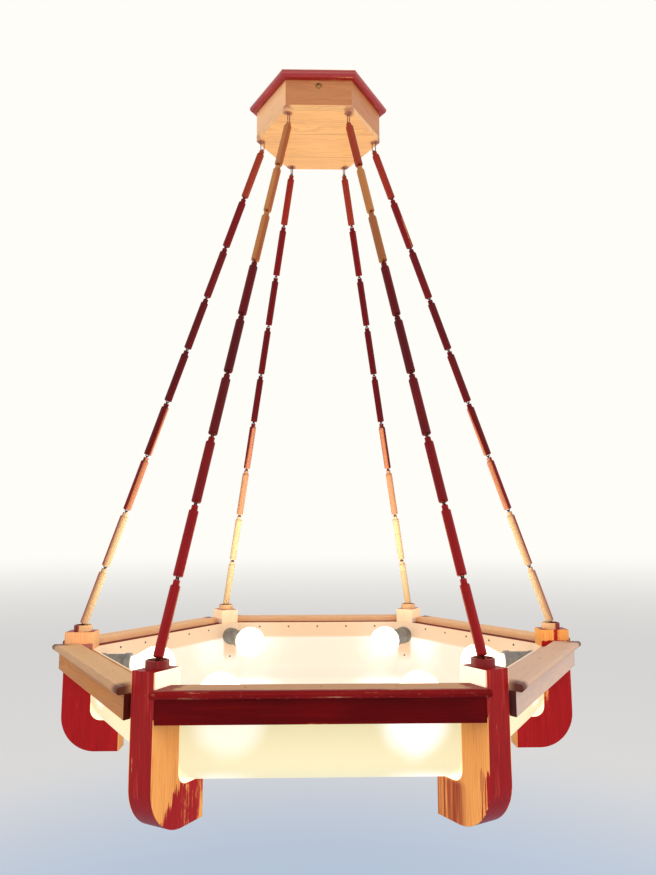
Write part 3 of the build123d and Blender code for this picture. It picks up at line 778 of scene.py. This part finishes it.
def lamp_glass():
    glow = bpy.context.scene.light_glow
    made, tree, shader = material("lamp_glass", Roughness=0.15, Emission_Strength=glow.bulb_strength)
    local, out, along, up = in_frame(tree, "Corner Frame")
    low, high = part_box("bulb_1_glass")
    neck = mask(tree, out, low.x + 0.052, high.x)
    colour = mix(tree, neck, tuple(glow.bulb), tuple(channel * 0.35 for channel in glow.bulb))
    base = mix(tree, noise(tree, object_place(tree), (40, 40, 40), 2), (0.86, 0.84, 0.78), (0.92, 0.90, 0.86))
    give(tree, shader, Base_Color=base, Emission_Color=colour)
    return made


def metal(name, bright, dull, rough, tint_from=0.42):
    made, tree, shader = material(name, Metallic=1.0)
    wear = use(tree, "Fine Wear", {"Vector": object_place(tree)})
    colour = mix(tree, mask(tree, wear["Smudge"], tint_from, tint_from + 0.3), bright, dull)
    gloss = scaled(tree, wear["Smudge"], 0.3, rough)
    give(
        tree, shader, Base_Color=colour, Roughness=gloss, Normal=bump(tree, wear["Scratch"], 0.00005, 0.4)
    )
    return made


def moulded(name, colour, shade, rough):
    made, tree, shader = material(name)
    wear = use(tree, "Fine Wear", {"Vector": object_place(tree)})
    base = mix(tree, mask(tree, wear["Smudge"], 0.4, 0.75), colour, shade)
    gloss = scaled(tree, wear["Smudge"], 0.25, rough)
    grain = noise(tree, object_place(tree), (1500, 1500, 1500), 2)
    give(tree, shader, Base_Color=base, Roughness=gloss, Normal=bump(tree, grain, 0.00008, 0.5))
    return made


def dress(made, *names):
    """Gives CAD nodes this material."""
    for name in names:
        node = NODES[name]
        if not node.material_slots:
            node.data.materials.append(made)
        for slot in node.material_slots:
            slot.material = made


def numbered(pattern):
    return [pattern.format(n) for n in range(1, CORNERS + 1)]


# Geometry Nodes


def geometry_tree(name, sockets):
    """An empty geometry tree with these named inputs: its tree, its inputs and its output node."""
    tree = bpy.data.node_groups.new(name, "GeometryNodeTree")
    tree.interface.new_socket(name="Geometry", in_out="INPUT", socket_type="NodeSocketGeometry")
    for socket, kind, value in sockets:
        made = tree.interface.new_socket(name=socket, in_out="INPUT", socket_type="NodeSocket" + kind)
        if value is not None:
            made.default_value = value
    tree.interface.new_socket(name="Geometry", in_out="OUTPUT", socket_type="NodeSocketGeometry")
    return tree, tree.nodes.new("NodeGroupInput").outputs, tree.nodes.new("NodeGroupOutput")


def finish_tree(tree, out, instances, given):
    real = add(tree, "GeometryNodeRealizeInstances", {"Geometry": instances}).outputs[0]
    painted = add(tree, "GeometryNodeSetMaterial", {"Geometry": real, "Material": given["Material"]})
    tree.links.new(painted.outputs[0], out.inputs[0])


def grown(name, points, tree, values, attributes):
    """Runs a geometry tree on points that carry attributes, and keeps the result as a plain mesh."""
    seed_mesh = bpy.data.meshes.new(name + "_points")
    seed_mesh.from_pydata([tuple(point) for point in points], [], [])
    for key, (kind, field, data) in attributes.items():
        seed_mesh.attributes.new(key, kind, "POINT").data.foreach_set(field, data)
    piece = bpy.data.objects.new(name, seed_mesh)
    bpy.context.scene.collection.objects.link(piece)
    modifier = piece.modifiers.new("Grown", "NODES")
    modifier.node_group = tree
    for item in tree.interface.items_tree:
        if item.in_out == "INPUT" and item.name in values:
            modifier[item.identifier] = values[item.name]
    bpy.context.view_layer.update()
    graph = bpy.context.evaluated_depsgraph_get()
    evaluated = piece.evaluated_get(graph)
    mesh = bpy.data.meshes.new_from_object(evaluated, preserve_all_data_layers=True, depsgraph=graph)
    piece.modifiers.remove(modifier)
    piece.data = mesh
    mesh.name = name
    return piece


def rod_tree():
    """A round-ended rod with a neck at its top on each point, lying along the chain."""
    facets = 28
    tree, given, out = geometry_tree(
        "Rod Chain",
        [
            ("Radius", "Float", 0.007),
            ("Length", "Float", 0.1),
            ("End Round", "Float", 0.0016),
            ("Neck Radius", "Float", 0.0047),
            ("Neck", "Float", 0.007),
            ("Chain Direction", "Vector", (0, 0, -1)),
            ("Outward", "Vector", (1, 0, 0)),
            ("Material", "Material", None),
        ],
    )
    line = add(tree, "GeometryNodeCurvePrimitiveLine", {"Start": (0, 0, -1), "End": (0, 0, 1)}).outputs[0]
    line = add(tree, "GeometryNodeResampleCurve", {"Curve": line, "Count": 25}, mode="COUNT").outputs[0]
    u = parts(tree, add(tree, "GeometryNodeInputPosition").outputs[0])[2]
    size = size_of(tree, u)
    eased = less(tree, 1.0, maths(tree, "POWER", less(tree, 1.0, size), 2.4))
    half = times(tree, given["Length"], 0.5)
    place = times(tree, times(tree, eased, maths(tree, "SIGN", u)), half)
    line = add(
        tree, "GeometryNodeSetPosition", {"Geometry": line, "Position": joined(tree, 0.0, 0.0, place)}
    ).outputs[0]
    z = parts(tree, add(tree, "GeometryNodeInputPosition").outputs[0])[2]
    to_end = less(tree, half, size_of(tree, z))
    short = most(tree, less(tree, given["End Round"], to_end), 0.0)
    squares = [maths(tree, "POWER", length, 2.0) for length in (given["End Round"], short)]
    arc = maths(tree, "SQRT", less(tree, *squares))
    radius = plus(tree, less(tree, given["Radius"], given["End Round"]), arc)
    ring = add(
        tree, "GeometryNodeCurvePrimitiveCircle", {"Resolution": facets, "Radius": 1.0}, mode="RADIUS"
    ).outputs[0]
    line = add(tree, "GeometryNodeSetCurveRadius", {"Curve": line, "Radius": radius}).outputs[0]
    sweep = {"Curve": line, "Profile Curve": ring, "Fill Caps": True}
    swept = tree.nodes.new("GeometryNodeCurveToMesh")
    if "Scale" in swept.inputs:
        sweep["Scale"] = radius
    fill(tree, swept, sweep)
    body = add(tree, "GeometryNodeSetShadeSmooth", {"Geometry": swept.outputs[0]}).outputs[0]
    neck_length = times(tree, given["Neck"], 2.0)
    neck = add(
        tree,
        "GeometryNodeMeshCylinder",
        {"Vertices": facets, "Radius": given["Neck Radius"], "Depth": neck_length},
    ).outputs[0]
    neck = add(
        tree, "GeometryNodeTransform", {"Geometry": neck, "Translation": joined(tree, 0.0, 0.0, half)}
    ).outputs[0]
    necked = tree.nodes.new("GeometryNodeJoinGeometry")
    for part in (body, neck):
        tree.links.new(part, necked.inputs[0])
    own_place = add(tree, "GeometryNodeInputPosition").outputs[0]
    rod = add(
        tree,
        "GeometryNodeStoreNamedAttribute",
        {"Geometry": necked.outputs[0], "Name": "rod_place", "Value": own_place},
        data_type="FLOAT_VECTOR",
        domain="POINT",
    ).outputs[0]
    upright = add(
        tree, "FunctionNodeAlignRotationToVector", {"Vector": given["Chain Direction"]}, axis="Z"
    ).outputs[0]
    facing = add(
        tree,
        "FunctionNodeAlignRotationToVector",
        {"Rotation": upright, "Vector": given["Outward"]},
        axis="X",
        pivot_axis="Z",
    ).outputs[0]
    rods = add(
        tree,
        "GeometryNodeInstanceOnPoints",
        {"Points": given["Geometry"], "Instance": rod, "Rotation": facing},
    ).outputs[0]
    finish_tree(tree, out, rods, given)
    return tree


def nail_tree():
    """A nail with a low domed head on each point, its head along the point's own direction."""
    tree, given, out = geometry_tree(
        "Nails",
        [
            ("Head Radius", "Float", 0.002),
            ("Head Rise", "Float", 0.0008),
            ("Shank Radius", "Float", 0.0009),
            ("Shank Length", "Float", 0.016),
            ("Material", "Material", None),
        ],
    )
    ball = add(tree, "GeometryNodeMeshUVSphere", {"Segments": 14, "Rings": 7, "Radius": 1.0}).outputs[0]
    x, y, z = parts(tree, add(tree, "GeometryNodeInputPosition").outputs[0])
    head_place = joined(
        tree,
        times(tree, x, given["Head Radius"]),
        times(tree, y, given["Head Radius"]),
        times(tree, scaled(tree, z, 0.5, 0.5), given["Head Rise"]),
    )
    head = add(tree, "GeometryNodeSetPosition", {"Geometry": ball, "Position": head_place}).outputs[0]
    head = add(tree, "GeometryNodeSetShadeSmooth", {"Geometry": head}).outputs[0]
    shank = add(
        tree,
        "GeometryNodeMeshCylinder",
        {"Vertices": 8, "Radius": given["Shank Radius"], "Depth": given["Shank Length"]},
    ).outputs[0]
    drop = scaled(tree, given["Shank Length"], -0.5, 0.0003)
    shank = add(
        tree, "GeometryNodeTransform", {"Geometry": shank, "Translation": joined(tree, 0.0, 0.0, drop)}
    ).outputs[0]
    join = tree.nodes.new("GeometryNodeJoinGeometry")
    for part in (shank, head):
        tree.links.new(part, join.inputs[0])
    facing = add(
        tree, "GeometryNodeInputNamedAttribute", {"Name": "nail_facing"}, data_type="FLOAT_VECTOR"
    ).outputs[0]
    turned = add(tree, "FunctionNodeAlignRotationToVector", {"Vector": facing}, axis="Z").outputs[0]
    nails = add(
        tree,
        "GeometryNodeInstanceOnPoints",
        {"Points": given["Geometry"], "Instance": join.outputs[0], "Rotation": turned},
    ).outputs[0]
    finish_tree(tree, out, nails, given)
    return tree


# Operators


class LIGHT_OT_groups(bpy.types.Operator):
    """Builds the shader groups that the materials share."""

    bl_idname = "light.groups"
    bl_label = "Shared finishes"

    def execute(self, context):
        side_frame_group()
        timber_figure_group()
        worn_stain_group()
        fine_wear_group()
        return {"FINISHED"}


class LIGHT_OT_box(bpy.types.Operator):
    """Dresses the ceiling box, its moulding, screws, loops and wiring pieces."""

    bl_idname = "light.box"
    bl_label = "Ceiling box"

    def execute(self, context):
        dress(box_side_pine(), "canopy_sides")
        dress(box_floor_pine(), "canopy_floor")
        dress(plain_wood(), "ceiling_bearer")
        dress(moulding_stain(), "canopy_moulding")
        dress(metal("box_wire", linear(150, 104, 88), linear(96, 44, 38), 0.3), "canopy_eyes")
        dress(metal("screw_brass", linear(176, 132, 78), linear(96, 66, 40), 0.3), "canopy_screws")
        white = moulded("white_moulding", linear(226, 224, 216), linear(206, 200, 186), 0.3)
        dress(white, "terminal_block", "cord_gland")
        return {"FINISHED"}


# How far rods show brown wood in place of red stain: chain to rod to share, counted from the box
NATURAL_RODS = {
    1: {1: 0.12},
    2: {1: 0.14},
    3: {1: 0.08},
    4: {1: 0.28},
    5: {1: 0.85, 2: 1.0, 3: 0.9},
    6: {1: 0.20, 2: 1.0, 3: 0.6},
}
# How dark the stain is on the rods of a chain, from the top down
DEEP = (0.15, 0.55, 0.80, 0.90, 1.0, 0.85, 0.50, 0.20, 0.10)
# How much painted lamp light the rods of each chain take on their lamp side, from rod 5 down
LAMP_LIT_RODS = {
    1: (0.0, 0.22, 0.52, 0.74, 0.85),
    2: (0.0, 0.25, 0.60, 0.82, 0.95),
    3: (0.0, 0.25, 0.60, 0.82, 0.95),
    4: (0.0, 0.22, 0.52, 0.76, 0.87),
    5: (0.0, 0.0, 0.30, 0.42, 0.48),
    6: (0.0, 0.0, 0.30, 0.42, 0.46),
}


class LIGHT_OT_chains(bpy.types.Operator):
    """Grows the rods of the six chains and dresses their wire loops."""

    bl_idname = "light.chains"
    bl_label = "Rod chains"

    def execute(self, context):
        rods = context.scene.light_rods
        tree = rod_tree()
        stain = rod_stain()
        cups = {j["child"]: Vector(j["pos_m"]) for j in frame["joints"] if j["name"].endswith("_swing")}
        for n in range(1, CORNERS + 1):
            angle = (n - 1) * STEP
            outward = Vector((math.cos(angle), math.sin(angle), 0))
            top = outward * rods.eye_radius + Vector((0, 0, rods.eye_height))
            run = cups[f"chain_{n}"] - top
            pitch = run.length / rods.count
            body = pitch - rods.gap - rods.neck
            middle = (pitch + rods.neck) / 2
            points = [top + run.normalized() * (pitch * k + middle) for k in range(rods.count)]
            lamp_lit, natural, worn, seed = [], [], [], []
            for k in range(1, rods.count + 1):
                tone_share = LAMP_LIT_RODS[n]
                lamp_lit.append(tone_share[k - rods.count - 1] if k > rods.count - len(tone_share) else 0.0)
                natural.append(NATURAL_RODS[n].get(k, 0.0))
                worn.append(0.06 + 0.03 * ((5 * k + 3 * n) % 5))
                seed.append(float(11 * n + k))
            piece = grown(
                f"rods_{n}",
                points,
                tree,
                {
                    "Radius": rods.radius,
                    "Length": body,
                    "End Round": rods.end_round,
                    "Neck Radius": rods.neck_radius,
                    "Neck": rods.neck,
                    "Chain Direction": -run.normalized(),
                    "Outward": outward,
                    "Material": stain,
                },
                {
                    "rod_lamp_lit": ("FLOAT", "value", lamp_lit),
                    "rod_natural": ("FLOAT", "value", natural),
                    "rod_worn": ("FLOAT", "value", worn),
                    "rod_seed": ("FLOAT", "value", seed),
                    "rod_deep": ("FLOAT", "value", DEEP),
                },
            )
            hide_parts(f"chain_{n}_rods")
            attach(piece, f"chain_{n}")
        wire = metal("stained_wire", linear(120, 52, 40), linear(70, 16, 16), 0.35, 0.36)
        dress(wire, "cup_eyes", *numbered("chain_{}_eyes"))
        return {"FINISHED"}


class LIGHT_OT_ring(bpy.types.Operator):
    """Dresses the posts, rails, caps and cups."""

    bl_idname = "light.ring"
    bl_label = "Timber ring"

    def execute(self, context):
        dress(post_stain("post_right", top_bare=0.30, worn=0.30), "post_1")
        dress(post_stain("post_back", top_bare=0.9, glare=0.4), "post_2", "post_3")
        dress(post_stain("post_left", top_bare=0.8, glare=0.12), "post_4")
        front_left = post_stain("post_front_left", pine_from=0.006, toe_bare=0.18, top_bare=1.0, glare=1.0)
        dress(front_left, "post_5")
        front_right = post_stain(
            "post_front_right",
            pine_from=-0.12,
            toe_bare=1.0,
            top_bare=1.0,
            streaked=0.9,
            toe_brown=0.9,
            glare=1.0,
        )
        dress(front_right, "post_6")
        dress(rail_stain("rail_back", 0.8, 0.25), "rail_1", "rail_2", "rail_3")
        dress(rail_stain("rail_left", 0.6, 0.5, 0.9, linear(176, 112, 60)), "rail_4")
        dress(rail_stain("rail_front", 1.0, 0.06), "rail_5")
        dress(rail_stain("rail_right", 0.6, 0.5, 0.92, linear(220, 204, 196)), "rail_6")
        dress(cap_stain("cap_back", linear(250, 204, 160)), "cap_1", "cap_2", "cap_3")
        dress(cap_stain("cap_left", linear(222, 184, 142), shaded_nose=0.4), "cap_4")
        dress(cap_stain("cap_front", linear(184, 148, 122), red_nose=1.0), "cap_5")
        dress(cap_stain("cap_right", linear(218, 192, 176), shaded_nose=0.1), "cap_6")
        dress(cup_stain(), "post_cups")
        return {"FINISHED"}


class LIGHT_OT_lamps(bpy.types.Operator):
    """Lights the diffuser and the lamps, and dresses the lampholders."""

    bl_idname = "light.lamps"
    bl_label = "Diffuser and lamps"

    def execute(self, context):
        dress(diffuser_sheet(), "tray")
        dress(lamp_glass(), *numbered("bulb_{}_glass"))
        shell = metal("cap_shell", linear(214, 212, 206), linear(170, 164, 150), 0.22)
        dress(shell, *numbered("bulb_{}_cap"))
        grey = moulded("grey_moulding", linear(126, 124, 120), linear(96, 92, 88), 0.35)
        dress(grey, *numbered("lampholder_{}"))
        return {"FINISHED"}


class LIGHT_OT_nails(bpy.types.Operator):
    """Grows the nails of the caps, the tray and the posts."""

    bl_idname = "light.nails"
    bl_label = "Nails"

    def execute(self, context):
        nails = context.scene.light_fixings
        points, facing = [], []
        cap_height = Vector((0, 0, CAP_TOP - nails.cap_sink - nails.head_rise))
        tray_height = Vector((0, 0, CAP_BASE - nails.tray_drop))
        post_height = Vector((0, 0, POST_TOP - nails.post_drop))
        for n in range(CORNERS):
            side = (n + 0.5) * STEP
            out = Vector((math.cos(side), math.sin(side), 0))
            along = Vector((-math.sin(side), math.cos(side), 0))
            for k in (-1, 0, 1):
                points.append(out * (RAIL_FACE - nails.cap_inset) + along * k * nails.cap_pitch + cap_height)
                facing.append((0, 0, 1))
            for k in (-2, -1, 0, 1, 2):
                points.append(out * TRAY_FACE + along * k * nails.tray_pitch + tray_height)
                facing.append(tuple(-out))
            corner = Vector((math.cos(n * STEP), math.sin(n * STEP), 0))
            points.append(corner * (POST_INNER_R - TRAY_WALL) + post_height)
            facing.append(tuple(-corner))
        iron = metal("nail_iron", linear(120, 92, 72), linear(64, 44, 36), 0.42, 0.34)
        piece = grown(
            "nail_heads",
            points,
            nail_tree(),
            {
                "Head Radius": nails.head_radius,
                "Head Rise": nails.head_rise,
                "Shank Radius": nails.shank_radius,
                "Shank Length": nails.shank_length,
                "Material": iron,
            },
            {"nail_facing": ("FLOAT_VECTOR", "vector", [value for row in facing for value in row])},
        )
        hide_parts("nails")
        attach(piece, "ring")
        return {"FINISHED"}


class LIGHT_OT_stage(bpy.types.Operator):
    """Sets the camera, the pale floor, the backdrop and the soft light."""

    bl_idname = "light.stage"
    bl_label = "Stage"

    def execute(self, context):
        stage = context.scene.light_stage
        context.scene.view_settings.view_transform = "Standard"
        self.place_camera(context, stage)
        self.light_world(context, stage)
        self.lay_floor(context, stage)
        self.hang_softboxes(context)
        return {"FINISHED"}

    def place_camera(self, context, stage):
        forward = Vector(
            (
                math.sin(stage.yaw) * math.cos(stage.pitch),
                math.cos(stage.yaw) * math.cos(stage.pitch),
                math.sin(stage.pitch),
            )
        )
        right = Vector((math.cos(stage.yaw), -math.sin(stage.yaw), 0))
        up = right.cross(forward)
        c, s = math.cos(stage.roll), math.sin(stage.roll)
        right, up = right * c + up * s, up * c - right * s
        data = bpy.data.cameras.new("viewer")
        data.lens = stage.lens
        data.sensor_width = 36.0
        data.clip_start = 0.02
        data.clip_end = 200.0
        camera = bpy.data.objects.new("viewer", data)
        turn = Matrix((right, up, -forward)).transposed()
        camera.matrix_world = Matrix.Translation(stage.camera_place) @ turn.to_4x4()
        context.scene.collection.objects.link(camera)
        context.scene.camera = camera

    def light_world(self, context, stage):
        world = bpy.data.worlds.new("pale_room")
        context.scene.world = world
        world.use_nodes = True
        tree = world.node_tree
        tree.nodes.clear()
        rays = add(tree, "ShaderNodeLightPath").outputs
        seen = most(tree, rays["Is Camera Ray"], rays["Is Glossy Ray"])
        seen = most(tree, seen, rays["Is Transmission Ray"])
        backdrop = add(tree, "ShaderNodeBackground", {"Color": (*stage.wall, 1), "Strength": 1.0})
        daylight = (1.0, 0.985, 0.96, 1)
        even = add(tree, "ShaderNodeBackground", {"Color": daylight, "Strength": stage.world_strength})
        both = add(tree, "ShaderNodeMixShader", {0: seen, 1: even.outputs[0], 2: backdrop.outputs[0]})
        add(tree, "ShaderNodeOutputWorld", {"Surface": both.outputs[0]})

    def lay_floor(self, context, stage):
        reach, sides = 45.0, 96
        turns = [2 * math.pi * k / sides for k in range(sides)]
        rim = [(reach * math.cos(turn), reach * math.sin(turn), stage.floor_height) for turn in turns]
        mesh = bpy.data.meshes.new("floor")
        mesh.from_pydata(rim, [], [list(range(sides))])
        floor = bpy.data.objects.new("floor", mesh)
        context.scene.collection.objects.link(floor)
        made = bpy.data.materials.new("pale_floor")
        made.use_nodes = True
        tree = made.node_tree
        tree.nodes.clear()
        x, y, z = parts(tree, object_place(tree))
        away = maths(tree, "SQRT", plus(tree, maths(tree, "POWER", x, 2.0), maths(tree, "POWER", y, 2.0)))
        fade_from, close_from, close_to = 6.5, 3.2, 1.2
        fade = mask(tree, maths(tree, "LOGARITHM", away, 10.0), math.log10(fade_from), math.log10(reach))
        # Painted shade: towards the viewer the floor turns blue-grey, standing in for the room's shade below
        # the lamp.
        close = mask(tree, away, close_from, close_to)
        tint = mix(tree, close, tuple(stage.floor_near), tuple(stage.floor_close))
        matte = add(tree, "ShaderNodeBsdfDiffuse", {"Color": tint})
        haze = add(tree, "ShaderNodeEmission", {"Color": (*stage.wall, 1), "Strength": 1.0})
        both = add(tree, "ShaderNodeMixShader", {0: fade, 1: matte.outputs[0], 2: haze.outputs[0]})
        add(tree, "ShaderNodeOutputMaterial", {"Surface": both.outputs[0]})
        mesh.materials.append(made)

    def hang_softboxes(self, context):
        aim_at = Vector((0, 0, -0.75))
        for name, place, width, watts in (
            ("left_window", (-2.4, -1.2, -0.2), 1.8, 14),
            ("right_window", (2.4, -1.0, -0.2), 1.8, 16),
            ("front_fill", (0.3, -3.0, 0.6), 1.6, 16),
        ):
            data = bpy.data.lights.new(name, "AREA")
            data.size = width
            data.energy = watts
            data.color = (1.0, 0.98, 0.95)
            light = bpy.data.objects.new(name, data)
            aim = aim_at - Vector(place)
            light.visible_camera = False
            light.matrix_world = Matrix.Translation(place) @ aim.to_track_quat("-Z", "Y").to_matrix().to_4x4()
            context.scene.collection.objects.link(light)
        data = bpy.data.lights.new("tray_light", "AREA")
        data.shape = "DISK"
        data.size = 0.50
        data.energy = 5
        data.color = (1.0, 0.88, 0.70)
        light = bpy.data.objects.new("tray_light", data)
        light.visible_camera = False
        light.visible_glossy = False
        light.matrix_world = Matrix.Translation((0, 0, CAP_TOP)) @ Matrix.Rotation(math.pi, 4, "X")
        context.scene.collection.objects.link(light)


class LIGHT_PT_panel(bpy.types.Panel):
    """Lists the steps and the values of the light."""

    bl_idname = "LIGHT_PT_panel"
    bl_label = "Ceiling light"
    bl_space_type = "VIEW_3D"
    bl_region_type = "UI"
    bl_category = "Ceiling light"

    def draw(self, context):
        for operator in OPERATORS:
            self.layout.operator(operator.bl_idname)
        for key in SETTINGS:
            group = getattr(context.scene, key)
            for name in group.__annotations__:
                self.layout.prop(group, name)


OPERATORS = (
    LIGHT_OT_groups,
    LIGHT_OT_box,
    LIGHT_OT_chains,
    LIGHT_OT_ring,
    LIGHT_OT_lamps,
    LIGHT_OT_nails,
    LIGHT_OT_stage,
)
SETTINGS = {
    "light_timber": LightTimber,
    "light_glow": LightGlow,
    "light_rods": LightRods,
    "light_fixings": LightFixings,
    "light_stage": LightStage,
}


def register():
    for kind in (*SETTINGS.values(), *OPERATORS, LIGHT_PT_panel):
        bpy.utils.register_class(kind)
    for key, kind in SETTINGS.items():
        setattr(bpy.types.Scene, key, PointerProperty(type=kind))


def unregister():
    for key in SETTINGS:
        delattr(bpy.types.Scene, key)
    for kind in reversed((*SETTINGS.values(), *OPERATORS, LIGHT_PT_panel)):
        bpy.utils.unregister_class(kind)


def main():
    register()
    bpy.ops.light.groups()
    bpy.ops.light.box()
    bpy.ops.light.chains()
    bpy.ops.light.ring()
    bpy.ops.light.lamps()
    bpy.ops.light.nails()
    bpy.ops.light.stage()


if __name__ == "__main__":
    main()
